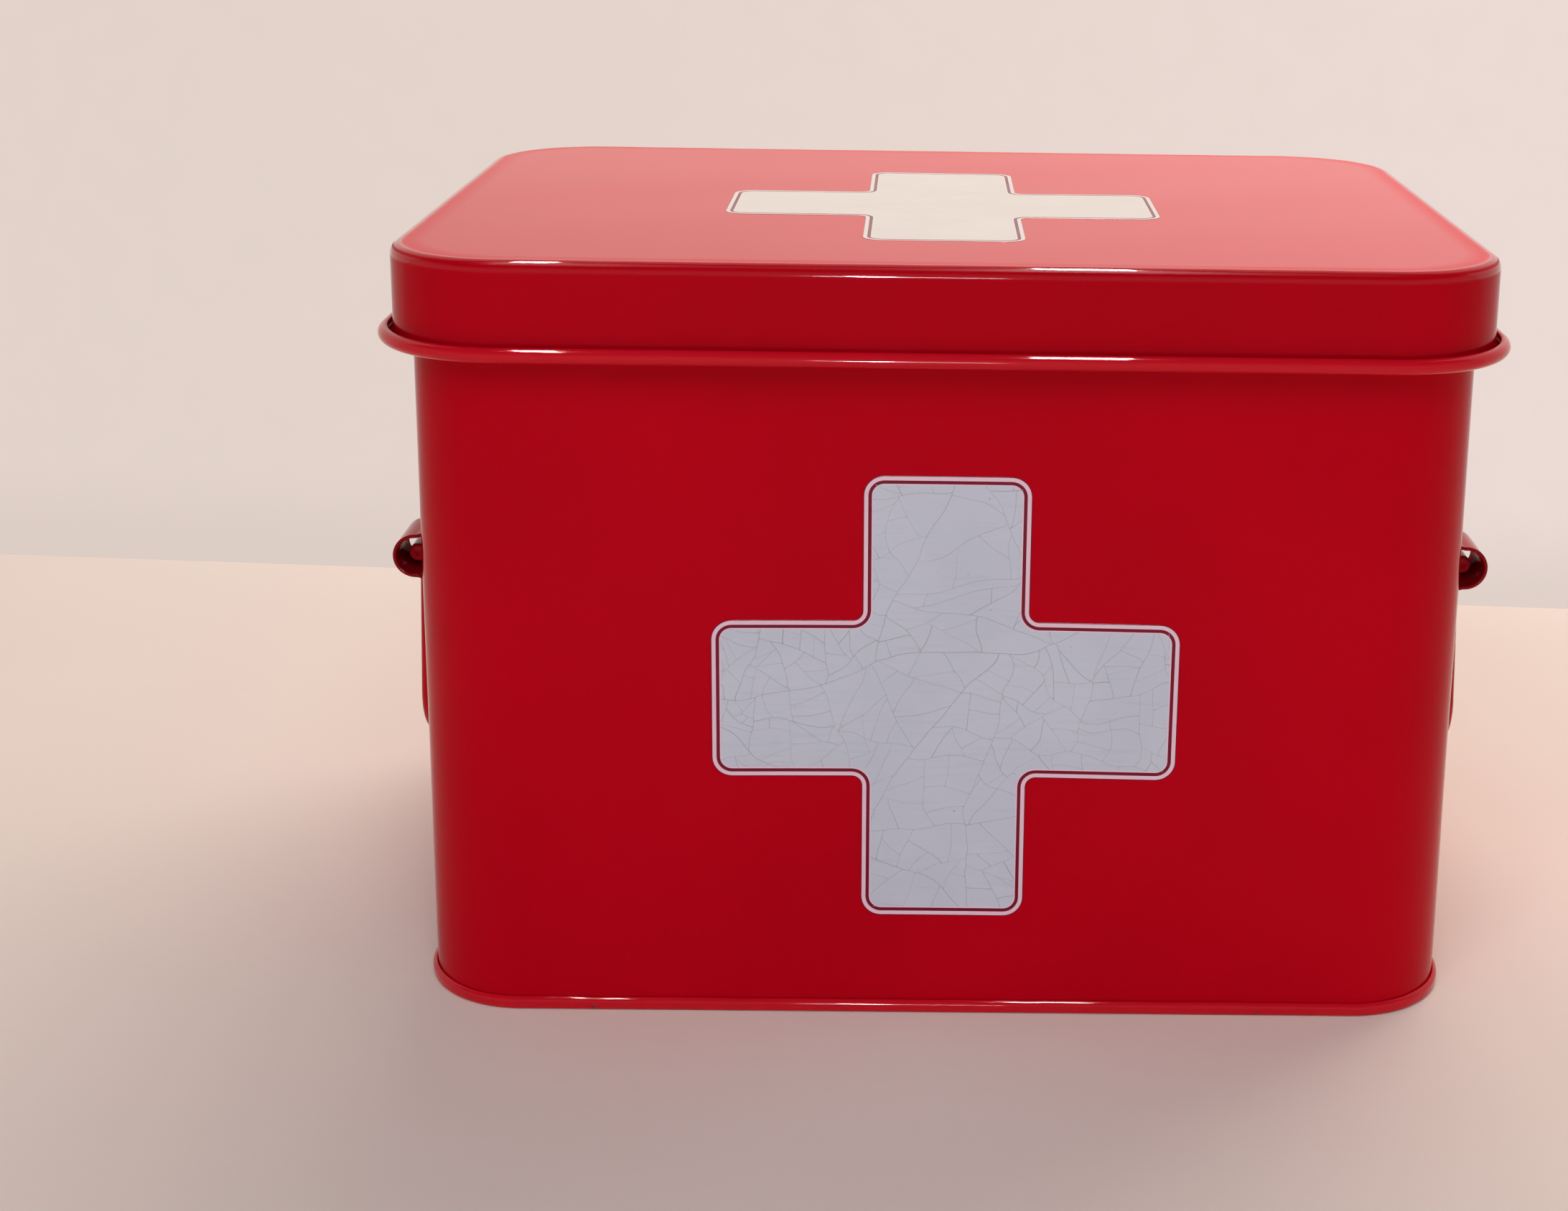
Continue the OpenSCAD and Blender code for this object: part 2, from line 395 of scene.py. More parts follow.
def whitePrint(name, look):
    # printed white cross: bands by the distance in from its outline, a faintly brushed field, rare specks
    p = Paint(bpy.data.materials.new(name))
    inset = p.mark("inset")
    cloud = p.rise(p.noise(look["cloudSize"], 3), 0.35, 0.65)
    colour = p.mix(cloud, look["shade"], look["field"])
    drawn = p.node("ShaderNodeMapping", {}, {"Vector": p.place, "Scale": (1, 14, 14)})
    brushed = p.rise(p.noise(look["brushSize"], 3, 0.6, drawn), 0.5, 0.75)
    colour = p.mix(brushed * look["brushShare"], colour, look["crack"])
    speck = p.rise(p.noise(look["speckSize"], 1), 0.8, 0.83)
    colour = p.mix(speck * look["speckShare"], colour, look["line"])
    soft = look["soft"]
    for limit, tone in zip(reversed(look["bands"]), ("pale", "maroon", "pale", "line")):
        colour = p.mix(1 - p.rise(inset, limit - soft, limit + soft), colour, look[tone])
    rough = look["rough"] + p.rise(p.noise(look["smearSize"], 4), 0.45, 0.75) * look["smearRough"]
    height = p.noise(look["peel"], 1) * look["peelDepth"] + p.noise(look["fine"], 1) * look["fineDepth"]
    return p.feed({"Base Color": colour, "Roughness": rough, "Normal": p.bump(height)},
                  {"IOR": look["ior"], "Metallic": 0.0})


def crazedLine(name, look):
    # dirt in the fine cracks of the print: as dark as each crack is deep, darkest in a few spots
    p = Paint(bpy.data.materials.new(name))
    deep = p.mark("deep") * (0.75 + 0.5 * p.noise(look["crackCloud"], 2))
    colour = p.mix(deep, look["field"], look["crack"])
    spot = p.rise(p.noise(look["spotSize"], 1), 0.70, 0.74) * p.rise(deep, 0.4, 0.8)
    colour = p.mix(spot, colour, look["dirt"])
    rough = look["crackRough"] + 0.2 * p.noise(look["crackSmear"], 2)
    return p.feed({"Base Color": colour, "Roughness": rough}, {"IOR": look["ior"], "Metallic": 0.0})


wallPaint = redEnamel("bodyEnamel", enamelLook)
# the lid's enamel is a darker copy of the body's: painted shade on the lid's skirt
lidLook = enamelLook | {
    "red": (0.535, 0.0, 0.009, 1), "deep": (0.50, 0.0, 0.008, 1), "thin": (0.58, 0.002, 0.012, 1),
}
lidPaint = redEnamel("lidEnamel", lidLook, 0.8)
fittingLook = enamelLook | {"red": (0.56, 0.0, 0.008, 1), "deep": (0.50, 0.0, 0.006, 1)}
fittingPaint = redEnamel("fittingEnamel", fittingLook, 1.1)
print("paints mixed")


# tin wall: wall, ledge and curl from one sheet

wallSizes = {
    "width": 290.0, "depth": 210.0, "corner": 28.0, "sheet": 0.6, "bottom": 0.7,
    "ledgeZ": 187.4, "ledgeBend": 1.5, "curlOut": 7.2, "curlZ": 189.5, "curlR": 2.1, "lipTurn": 98.0,
    "lap": 8.0, "lapStep": 0.6, "lapSoft": 0.22, "lapFootZ": 3.7,
    "frontDish": 2.6, "backDish": 0.8, "waves": (5, 130, 55), "waveDepth": 0.07, "sideShare": 0.4,
    "gloss": 0.8, "paintedLight": 0.22,  # gloss and painted light, on the curl
}


def wallSpring(height):
    # 0 at the foot and the ledge, 1 at mid-height: half a sine wave
    share = np.clip(height / (wallSizes["ledgeZ"] - wallSizes["ledgeBend"]), 0, 1)
    return np.sin(np.pi * share)


def acrossSpring(x):
    # 0 at both ends of the front or back, 1 in its middle: a squared cosine
    long = wallSizes["width"] / 2 - wallSizes["corner"]
    return np.cos(np.pi / 2 * np.clip(x / long, -1, 1)) ** 2


def frontDish(x, height):
    # the front sheet springs inwards: depth * squared cosine across * sine up the wall
    return wallSizes["frontDish"] * acrossSpring(x) * wallSpring(height)


def wallWave(length, height):
    # slow waves of the sheet: ripple over the length round the tin and the height, none at foot and ledge
    return ripple(length, height, *wallSizes["waves"]) * wallSizes["waveDepth"] * wallSpring(height)


def buildWall(s):
    # the sheet's outer line up to the curl and its inner line back, carried round the tin
    t, bendR, low = s["sheet"], s["ledgeBend"], s["bottom"]
    bendZ, outZ, topZ = s["ledgeZ"] - bendR, s["ledgeZ"], s["ledgeZ"] + t
    cx, cz, r, lip = s["curlOut"], s["curlZ"], s["curlR"], s["lipTurn"]
    lipX = cx + (r - t / 2) * math.cos(math.radians(lip))
    lipZ = cz + (r - t / 2) * math.sin(math.radians(lip))
    profile = chain(
        run((0, low), (0, bendZ), 44),
        arc(bendR, bendZ, bendR, 180, 90, 8),
        run((bendR, outZ), (cx, outZ), 6),
        arc(cx, cz, r, -90, lip, 28),
        arc(lipX, lipZ, t / 2, lip, lip + 180, 8),
        arc(cx, cz, r - t, lip, -90, 20),
        run((cx, topZ), (bendR, topZ), 6),
        arc(bendR, bendZ, bendR + t, 90, 180, 8),
        run((-t, bendZ), (-t, low), 30),
        arc(-t / 2, low, t / 2, 180, 360, 4),
    )[:-1]
    half = s["lap"] / 2
    lapStations = np.r_[np.linspace(-half - 0.8, -half + 0.4, 9), np.linspace(half - 0.4, half + 0.8, 9)]
    outline = tinOutline(s["width"], s["depth"], s["corner"], lapStations)
    x, angle = outline["base"][:, :1], outline["angle"][:, None]
    offset, height = profile[None, :, 0], profile[None, :, 1]
    back = angle == 90
    bulge = wallWave(outline["length"][:, None], height)
    bulge = np.where((angle == 0) | (angle == 180), bulge * s["sideShare"], bulge)
    bulge = np.where(angle == -90, bulge - frontDish(x, height), bulge)
    bulge = np.where(back, bulge - s["backDish"] * acrossSpring(x) * wallSpring(height), bulge)
    # the lap stands a sheet proud on the outside of the back wall, with an edge drawn out by the weld
    lapRise = 0.5 + 0.5 * np.tanh((half - np.abs(x)) / s["lapSoft"])
    lapFade = ramp(height, s["lapFootZ"], 1.5) * ramp(bendZ - height, 0, 2.0)
    outside = (offset > -0.01) & (height < bendZ)
    bulge = bulge + np.where(back & outside, s["lapStep"] * lapRise * lapFade, 0)
    fromLip = np.hypot(offset - lipX, height - lipZ)
    crown = (height > cz) & (offset > cx)
    # the curl is glossier and painted a paler red: painted light
    curl = ramp(offset, cx - 0.4, 0.8)
    marks = {
        "edge": np.clip(bell(fromLip, 0, 0.7) + 0.35 * crown, 0, 1),
        "inner": (offset < -t / 2) & (height < bendZ + 1),
        "gloss": s["gloss"] * curl,
        "paintedLight": s["paintedLight"] * curl,
    }
    return skin(carry(outline, profile, bulge), loop=True), marks


wallSurface, wallMarks = buildWall(wallSizes)
makePiece("tin_wall", wallSurface, "box", wallPaint, ["body_wall"], wallMarks)
print("wall built")


# foot pan: floor panel whose edge folds round the foot of the wall

panSizes = {
    "footOut": 1.5, "footH": 3.6, "underR": 1.0, "floorZ": 3.5, "floorBend": 1.2, "gap": 0.1, "sheet": 0.6,
    "foldR": 0.12, "floorRun": 2.5, "shelf": 0.8, "rings": 16,
    "lipOut": 0.19, "lipFall": 0.02, "lipDrop": 0.25,  # the bead's raw edge, against the wall
    "wobble": 0.10, "hammerWaves": (11, 46, 9, 9), "hammerShare": 0.6, "liftWaves": (12, 38, 8, 9),
    "sag": 0.5, "floorWaves": (14, 120, 60), "floorDepth": 0.25,
    "gloss": 0.8, "paintedLight": 0.22,  # gloss and painted light, on the bead
}


def sagged(rings, s, wall):
    # the floor sinks in the middle and carries slow waves, none of it at its edge
    x, y = rings[..., 0], rings[..., 1]
    away = fromEdge(x, y, wall["width"] / 2, wall["depth"] / 2)
    rings[..., 2] += away * (s["floorDepth"] * ripple(x, y, *s["floorWaves"]) - s["sag"])
    return rings


def buildPan(s, wall):
    # the fold's line from under the floor round the wall's edge to the floor's top, carried round the tin
    t, gap, bendR, fold = s["sheet"], s["gap"], s["floorBend"], s["foldR"]
    seamIn = 2 * t + gap
    beadR = s["footOut"] - gap
    bendX, bendZ = -seamIn - bendR, s["floorZ"] - bendR
    out, under, top = s["footOut"], s["underR"], s["footH"]
    floorX, shelfX = bendX - s["floorRun"], gap - s["shelf"]
    profile = chain(
        run((floorX, s["floorZ"]), (bendX, s["floorZ"]), 3),
        arc(bendX, bendZ, bendR, 90, 0, 7),
        run((-seamIn, bendZ), (-seamIn, fold), 3),
        arc(-seamIn + fold, fold, fold, 180, 270, 3),
        run((-seamIn + fold, 0), (out - under, 0), 5),
        arc(out - under, under, under, -90, 0, 12),
        run((out, under), (out, top - beadR), 6),
        arc(gap, top - beadR, beadR, 0, 82, 16),
        run((gap + s["lipOut"], top - s["lipFall"]), (gap, top - s["lipDrop"]), 2),
        run((gap, top - s["lipDrop"]), (gap, t), 5),
        run((gap, t), (shelfX, t), 2),
        run((shelfX, t), (-seamIn + t, bendZ), 3),
        arc(bendX, bendZ, bendR + t, 0, 90, 7),
        run((bendX, s["floorZ"] + t), (floorX, s["floorZ"] + t), 3),
    )
    offset, height = profile.T
    outline = tinOutline(wall["width"], wall["depth"], wall["corner"])
    length = outline["length"]
    outside = ramp(offset, 0.3, 0.6) * ramp(height, 0, 1.0)
    hammer = s["hammerShare"] * s["wobble"] * ripple(length, 0 * length, *s["hammerWaves"])
    grid = carry(outline, profile, hammer[:, None] * outside[None, :])
    lift = s["wobble"] * ripple(length, 0 * length, *s["liftWaves"])
    grid[..., 2] += lift[:, None] * ramp(height, 2.2, 1.4) * (offset > 0.05)
    below = sagged(inwards(grid[:, 0], s["rings"])[:, ::-1], s, wall)
    above = sagged(inwards(grid[:, -1], s["rings"]), s, wall)
    middle = float(above[:, -1, 2].mean())
    grid = np.concatenate([below, grid, above], 1)
    flat = np.zeros(s["rings"] - 1)
    # the bead is glossier and painted a paler red: painted light
    bead = np.r_[flat, ramp(offset, 0.15, 0.3), flat]
    marks = {
        "edge": np.r_[flat, bell(offset, out, 0.5), flat],
        "inner": np.r_[flat, (height > s["floorZ"] + 0.1) & (offset < -t), flat + 1],
        "gloss": s["gloss"] * bead,
        "paintedLight": s["paintedLight"] * bead,
    }
    return skin(grid, first=(0, 0, middle - t), last=(0, 0, middle)), marks


panSurface, panMarks = buildPan(panSizes, wallSizes)
makePiece("foot_pan", panSurface, "box", wallPaint, ["bottom_pan"], panMarks)
print("foot pan built")


# lid: drawn cover with a hem inside its skirt

lidSizes = {
    "width": 300.4, "depth": 220.4, "corner": 33.2, "low": 188.2, "high": 214.0, "edgeR": 3.0,
    "sheet": 0.6, "hem": 5.0, "hemFoot": 0.5, "topRun": 2.0, "rings": 34,
    "dish": 0.3, "topWaves": (21, 150, 55, 9), "topDepth": 0.085,
    "skirtWaves": (23, 120, 40), "skirtDepth": 0.05, "edgeWaves": (24, 40, 12), "edgeDepth": 0.05,
    "rubbed": 0.34, "rubbedRun": 2200.0,  # gloss of the top, a touch more to the right
    "paintedTopLight": 0.78, "paintedTopLightRun": (750.0, 900.0),  # painted light on the top, more to the right and the back
}


def lidDish(x, y):
    # the top sinks a little in the middle and carries slow waves, none of it at the edge
    s = lidSizes
    away = fromEdge(x, y, s["width"] / 2 - s["edgeR"], s["depth"] / 2 - s["edgeR"])
    return ripple(x, y, *s["topWaves"]) * s["topDepth"] * np.sqrt(away) - s["dish"] * away


def buildLid(s):
    # the sheet's line from under the top, down the skirt, round the hem and back up, carried round the tin
    t, r, low, high, flatRun = s["sheet"], s["edgeR"], s["low"], s["high"], s["topRun"]
    hemTop = low + s["hem"]
    profile = chain(
        run((-r - flatRun, high - t), (-r, high - t), 2),
        arc(-r, high - r, r - t, 90, 0, 8),
        run((-t, high - r), (-t, hemTop + t / 2), 10),
        arc(-1.5 * t, hemTop, t / 2, 0, 180, 6),
        run((-2 * t, hemTop), (-2 * t, low + s["hemFoot"]), 6),
        arc(-t, low + t, t, 180, 360, 12),
        run((0, low + t), (0, high - r), 16),
        arc(-r, high - r, r, 0, 90, 16),
        run((-r, high), (-r - flatRun, high), 3),
    )
    offset, height = profile.T
    outline = tinOutline(s["width"], s["depth"], s["corner"])
    length = outline["length"]
    bow = np.sin(np.pi * ramp(height, low, high - r - low))
    wave = s["skirtDepth"] * ripple(length, 0 * length, *s["skirtWaves"])
    grid = carry(outline, profile, wave[:, None] * bow[None, :])
    lift = s["edgeDepth"] * ripple(length, 0 * length, *s["edgeWaves"])  # the drawn edge isn't quite even
    grid[..., 2] += lift[:, None] * ramp(height, high - r, r) * ramp(offset, -r - flatRun, flatRun)
    under, over = inwards(grid[:, 0], s["rings"])[:, ::-1], inwards(grid[:, -1], s["rings"])
    for rings in (under, over):
        rings[..., 2] += lidDish(rings[..., 0], rings[..., 1])
    dip = float(lidDish(np.zeros(1), np.zeros(1))[0])
    grid = np.concatenate([under, grid, over], 1)
    flat = np.zeros(s["rings"] - 1)
    top = bell(np.hypot(offset + r, height - high + r), r, 0.3) * (offset > -r) * (height > high - r)
    foot = bell(height, low, 0.6)
    inner = (offset < -0.55) & (height < high - t + 0.01) & (height > low + 0.4)
    bent = ramp(height, high - r - 0.2, 0.4) * ramp(offset, -r - 0.6, 0.6)
    rubbed = s["rubbed"] + grid[..., 0] / s["rubbedRun"]
    # painted light: the top is a paler red, more so to the right and the back
    paintedTopLight = np.clip(s["paintedTopLight"] + grid[..., 0] / s["paintedTopLightRun"][0] + grid[..., 1] / s["paintedTopLightRun"][1], 0, 1)
    marks = {
        "edge": np.r_[flat, np.clip(0.45 * top + foot, 0, 1), flat],
        "inner": np.r_[flat + 1, inner, flat],
        "gloss": np.r_[flat, bent * (1 - inner), flat] + rubbed * np.r_[flat, 0 * bent, flat + 1],
        "paintedLight": paintedTopLight * np.r_[flat, ramp(height, high - 0.06, 0.06), flat + 1],
    }
    return skin(grid, first=(0, 0, high - t + dip), last=(0, 0, high + dip)), marks


lidSurface, lidMarks = buildLid(lidSizes)
makePiece("lid_shell", lidSurface, "lid", lidPaint, ["lid"], lidMarks)
print("lid built")


# strap clips: one strip bent round the wire, its two flanges welded to the wall

clipSizes = {
    "wall": 145.0, "span": 120.0, "z": 121.0, "width": 18.0, "strap": 1.0, "loopR": 6.3, "loopOut": 10.7,
    "bend": 3.3, "flange": 9.0, "flangeR": 3.0, "edgeR": 0.28, "weld": 1.7, "weldOff": 4.2, "weldDepth": 0.2,
    "ring": 0.45, "ringAt": 1.5, "ringWide": 0.45,  # raised round each weld, in widths of it
    "flangeSteps": 22, "acrossSteps": 26, "edgeSteps": 5,
    "gloss": 0.05, "loopGloss": 0.3, "endWear": 0.8, "innerDull": 0.3, "innerShade": 0.85, "edgeShade": 0.7,
}


def buildClip(s, side, end):
    # the strip's middle line down the wall and round the loop, with a flat, round-edged section across it
    t, bendR, steps = s["strap"], s["bend"], s["flangeSteps"]
    loopX, mid = s["loopOut"] - s["loopR"], s["loopR"] - t / 2
    bendX, bendZ = t + bendR, s["loopR"] + bendR
    onWall = np.full(steps + 1, t / 2)
    down = spaced(0, s["flange"], steps, 0.85)
    line = chain(
        np.stack([onWall, bendZ + s["flange"] - down], 1),
        arc(bendX, bendZ, bendR + t / 2, 180, 270, 10),
        run((bendX, mid), (loopX, mid), 2, 0),
        arc(loopX, 0, mid, 90, -90, 40),
        run((loopX, -mid), (bendX, -mid), 2, 0),
        arc(bendX, -bendZ, bendR + t / 2, 90, 180, 10),
        np.stack([onWall, -bendZ - down], 1),
    )
    length = lengths(line)
    ahead = headings(line)
    out = np.stack([-ahead[:, 1], ahead[:, 0]], 1)
    # half the width narrows over the round corners of each flange, and the thickness over the last of it
    fromEnd = np.minimum(length, length[-1] - length)
    r, e = s["flangeR"], s["edgeR"]
    half = s["width"] / 2 - r + quarterRound(fromEnd, r)
    thick = t / 2 - e + quarterRound(fromEnd, e)
    # section: a flat strip with rounded long edges
    across = spaced(-1, 1, s["acrossSteps"], 0.5)
    turn = np.radians(np.linspace(90, -90, s["edgeSteps"] + 2))[1:-1]
    ones = np.ones(s["edgeSteps"])
    wide = np.r_[across, ones, across[::-1], -ones][:, None]
    roundX = np.r_[0 * across, np.cos(turn), 0 * across, -np.cos(turn)][:, None]
    roundT = np.r_[0 * across + 1, np.sin(turn), 0 * across - 1, -np.sin(turn)][:, None]
    isEdge = np.r_[0 * across, ones, 0 * across, ones][:, None]
    y = wide * (half[None, :] - e) + roundX * e
    depth = np.where(isEdge > 0, roundT * e + np.sign(roundT) * (thick - e), roundT * thick)
    # two shallow weld dimples with raised rings on each flange
    for centre in (s["flange"] * 0.5, length[-1] - s["flange"] * 0.5):
        away = np.hypot(np.abs(y) - s["weldOff"], length[None, :] - centre) / s["weld"]
        dimple = bell(away, 0, 1) - s["ring"] * bell(away, s["ringAt"], s["ringWide"])
        depth = depth - s["weldDepth"] * dimple * (roundT > 0.5)
    x = line[None, :, 0] + out[None, :, 0] * depth
    z = line[None, :, 1] + out[None, :, 1] * depth
    grid = np.stack([side * (s["wall"] + x), end * s["span"] / 2 + y, s["z"] + z], -1)
    inside = (roundT < -0.5) & (fromEnd[None, :] > s["flange"])
    looped = ramp(line[:, 0], t, bendR)
    marks = {
        "edge": np.clip(isEdge + bell(fromEnd[None, :], 0, 0.5) * s["endWear"], 0, 1),
        "inner": inside * s["innerDull"],
        # painted shade: the inside of the loop and the strip's long edges are painted near-black
        "shade": np.clip(inside * s["innerShade"] + isEdge * s["edgeShade"], 0, 1),
        "gloss": s["gloss"] + s["loopGloss"] * looped,
    }
    return skin(grid, first=grid[:, 0].mean(0), last=grid[:, -1].mean(0)), marks


for sideName, side in (("left", -1), ("right", 1)):
    for endName, end in (("front", -1), ("rear", 1)):
        clipSurface, clipMarks = buildClip(clipSizes, side, end)
        clipName = "strap_clip_" + sideName + "_" + endName
        makePiece(clipName, clipSurface, "box", fittingPaint,
                  [sideName + "_" + endName + "_clip"], clipMarks)
print("clips built")


# bails: wire drop handles

bailSizes = {
    "x": 150.5, "z": 119.095, "wireR": 2.6, "footEnd": 60.0, "footX": 50.5, "footBend": 6.0, "gripBend": 12.0,
    "drop": 59.0, "splay": 8.0, "endR": 1.1, "around": 24, "endSteps": 6,
    "gloss": 0.35, "endWear": 0.8, "gripWear": 0.35, "gripRun": 8.0,
}


def buildBail(s, side):
    # the wire's middle line from the grip to a foot, then its mirror image, with a circle carried along
    splay, r, drop, steps = s["splay"], s["wireR"], s["drop"], s["endSteps"]
    footX, footR, gripR = s["footX"], s["footBend"], s["gripBend"]
    lean, bendRoom = math.radians(splay), math.tan(math.radians(45 + splay / 2))
    gripX = footX - (footR + gripR) * bendRoom + drop * math.tan(lean)
    legFoot = (gripX + gripR * math.cos(lean), gripR - drop + gripR * math.sin(lean))
    legTop = (footX - footR * math.cos(lean), -footR - footR * math.sin(lean))
    half = chain(
        run((0, -drop), (gripX, -drop), 14, 0.5),
        arc(gripX, gripR - drop, gripR, -90, splay, 20),
        run(legFoot, legTop, 12, 0.5),
        arc(footX, -footR, footR, 180 + splay, 90, 18),
        run((footX, 0), (s["footEnd"] - s["endR"], 0), 6, 0.3),
    )
    line = np.concatenate([half[:0:-1] * [-1, 1], half])
    ahead = headings(line)
    out = np.stack([ahead[:, 1], -ahead[:, 0]], 1)
    # rounded ends: rings that shrink along a quarter circle
    turn = np.radians(np.linspace(0, 84, steps + 1))[1:]
    cap = np.stack([s["endR"] * np.sin(turn), r - s["endR"] + s["endR"] * np.cos(turn)], 1)
    radius = np.r_[cap[::-1, 1], np.full(len(line), r), cap[:, 1]]
    line = np.concatenate([line[:1] - ahead[:1] * cap[::-1, :1], line, line[-1:] + ahead[-1:] * cap[:, :1]])
    out = np.concatenate([np.repeat(out[:1], steps, 0), out, np.repeat(out[-1:], steps, 0)])
    around = np.radians(np.linspace(0, 360, s["around"], endpoint=False))[:, None]
    y = line[None, :, 0] + np.cos(around) * radius * out[None, :, 0]
    z = line[None, :, 1] + np.cos(around) * radius * out[None, :, 1]
    x = np.sin(around) * radius
    grid = np.stack([side * (s["x"] + x), y, s["z"] + z], -1)
    tips = [np.array([side * s["x"], k * s["footEnd"], s["z"]]) for k in (-1, 1)]
    # the wire's ends are worn and painted a paler red: painted light on them
    ends = s["endWear"] * np.r_[np.ones(steps), np.zeros(len(line) - 2 * steps), np.ones(steps)]
    grip = s["gripWear"] * ramp(-line[:, 1], drop - s["gripRun"], s["gripRun"])
    marks = {
        "edge": np.clip(ends + grip, 0, 1),
        "gloss": np.full(len(line), s["gloss"]),
        "paintedLight": ends,
    }
    return skin(grid, first=tips[0], last=tips[1]), marks


for sideName, side in (("left", -1), ("right", 1)):
    bailSurface, bailMarks = buildBail(bailSizes, side)
    makePiece("bail_wire_" + sideName, bailSurface, sideName + "_bail", fittingPaint,
              [sideName + "_bail"], bailMarks)
print("bails built")


# printed crosses: thin films on the front wall and the lid

crossSizes = {
    "half": 63.75, "arm": 22.65, "outerR": 5.65, "innerR": 2.75, "film": 0.05, "bed": -0.03,
    "front": (1.0, 92.5), "lid": (-0.7, -7.0),  # middle of each print
    "bevel": 0.05, "rimShare": 0.4, "bandEdge": 0.06, "field": 3.2, "farIn": 9.0,
    "rings": 25, "arcSteps": 8, "straightSteps": 10,
}


def crossRing(s, inset):
    # round-cornered cross, set in from its outline: corner arcs about fixed centres, straights between them
    h, a, big, small = s["half"], s["arm"], s["outerR"], s["innerR"]
    # x, y, start and sweep of the three arcs of one arm, turned to all four
    quarter = np.array([
        [h - big, big - a, -90, 90],
        [h - big, a - big, 0, 90],
        [a + small, a + small, 270, -90],
    ])
    turns = np.arange(4) * 90
    c, k = np.cos(np.radians(turns))[:, None], np.sin(np.radians(turns))[:, None]
    x = (c * quarter[:, 0] - k * quarter[:, 1]).ravel()[:, None]
    y = (k * quarter[:, 0] + c * quarter[:, 1]).ravel()[:, None]
    start = (quarter[:, 2] + turns[:, None]).ravel()[:, None]
    sweep = np.tile(quarter[:, 3], 4)[:, None]
    radius = np.where(sweep > 0, big - inset, small + inset)
    angle = np.radians(start + sweep * np.linspace(0, 1, s["arcSteps"] + 1))
    arcs = np.stack([x + radius * np.cos(angle), y + radius * np.sin(angle)], -1)
    t = np.linspace(0, 1, s["straightSteps"] + 1)[1:-1, None]
    ends = arcs[:, -1][:, None, :] * (1 - t) + np.roll(arcs[:, 0], -1, axis=0)[:, None, :] * t
    return np.concatenate([arcs, ends], 1).reshape(-1, 2)


def buildCross(s, look, place):
    # rings in from the outline and on to the middle, on the film's back and then its face
    edge = s["bandEdge"]
    bands = [band + step for band in look["bands"] for step in (-edge, edge)]
    insets = [0.0, s["bevel"]] + bands + [s["field"]]
    rings = [crossRing(s, inset) for inset in insets]
    inner = [rings[-1] * share for share in np.linspace(1, 0, s["rings"] + 1)[1:-1]]
    face = np.stack(rings + inner, 1)
    depth = np.array(insets + [s["farIn"]] * len(inner))
    proud = np.where(np.arange(len(depth)) == 0, s["film"] * s["rimShare"], s["film"])
    both = np.concatenate([face[:, ::-1], face], 1)
    lift = np.r_[np.full(len(depth), s["bed"]), proud]
    grid = place(both[..., 0], both[..., 1], lift[None, :])
    zero = np.zeros((1, 1))
    tips = [place(zero, zero, zero + h)[0, 0] for h in (s["bed"], s["film"])]
    inset = np.tile(np.r_[depth[::-1], depth], len(grid))
    marks = {"inset": np.r_[inset, s["farIn"], s["farIn"]]}
    return skin(grid, first=tips[0], last=tips[1]), marks


def onFront(u, v, lift):
    # a point of the front print on the sprung, wavy wall: y = -depth / 2 + dish - wave - lift
    x, z = crossSizes["front"][0] + u, crossSizes["front"][1] + v
    length = x + wallSizes["width"] / 2 - wallSizes["corner"]  # from the left end of the front
    return np.stack([x, -wallSizes["depth"] / 2 + frontDish(x, z) - wallWave(length, z) - lift, z], -1)


def onLid(u, v, lift):
    # a point of the lid's print on its sunken, wavy top: z = top + dish + lift
    x, y = crossSizes["lid"][0] + u, crossSizes["lid"][1] + v
    return np.stack([x, y, lidSizes["high"] + lidDish(x, y) + lift], -1)


# the lid's print is a paler, warmer copy of the front's: partly a cream print, partly painted light on the
# lid and painted shade on the front
creamAndLitLook = printLook | {
    "field": (0.92, 0.855, 0.80, 1), "shade": (0.89, 0.825, 0.77, 1),
    "pale": (0.94, 0.86, 0.84, 1), "line": (0.60, 0.05, 0.07, 1),
}
frontPrint = whitePrint("frontPrint", printLook)
lidPrint = whitePrint("lidPrint", creamAndLitLook)
crossSurface, crossMarks = buildCross(crossSizes, printLook, onFront)
makePiece("cross_front", crossSurface, "box", frontPrint, (), crossMarks)
crossSurface, crossMarks = buildCross(crossSizes, printLook, onLid)
makePiece("cross_lid", crossSurface, "lid", lidPrint, (), crossMarks)
print("crosses printed")


# crazing: fine cracks in the front print, each ending on an older one

crazeSizes = {
    "seed": 12, "reach": 74.0, "cell": 74.0, "denseCell": 34.0, "denseX": -34.0, "wide": 0.21, "fine": 0.12,
    "step": 1.3, "keel": 0.03, "edge": 0.054, "crest": 0.06, "turn": 0.2, "offMiddle": 0.10, "uneven": 0.5,
    "depth": 0.57, "fading": 0.038, "spread": 0.18, "faintest": 0.06, "darkest": 0.6,
    "deepWaves": (35, 60, 20),
    "sways": ((4.2, 31, 90, 30), (1.3, 36, 30, 14), (0.2, 33, 14, 5)),  # how far, then the waves
}


def splitCell(s, cell, rng):
    # cuts a convex cell near its middle, more or less across its longer way
    away = cell - cell.mean(0)
    longer = np.linalg.eigh(away.T @ away)[1][:, 1]
    turn = rng.normal(0, s["turn"])
    across = np.array([longer[0] * math.cos(turn) - longer[1] * math.sin(turn),
                       longer[0] * math.sin(turn) + longer[1] * math.cos(turn)])
    side = away @ across
    side = side - rng.normal(0, s["offMiddle"]) * np.ptp(side)
    after = np.roll(side, -1)
    i, j = np.flatnonzero(side * after < 0)[:2]
    share = (side / (side - after))[:, None]
    cuts = cell * (1 - share) + np.roll(cell, -1, axis=0) * share
    ends = cuts[[i, j]]
    one = np.vstack([ends[:1], cell[i + 1:j + 1], ends[1:]])
    two = np.vstack([ends[1:], cell[j + 1:], cell[:i + 1], ends[:1]])
    return ends, one, two


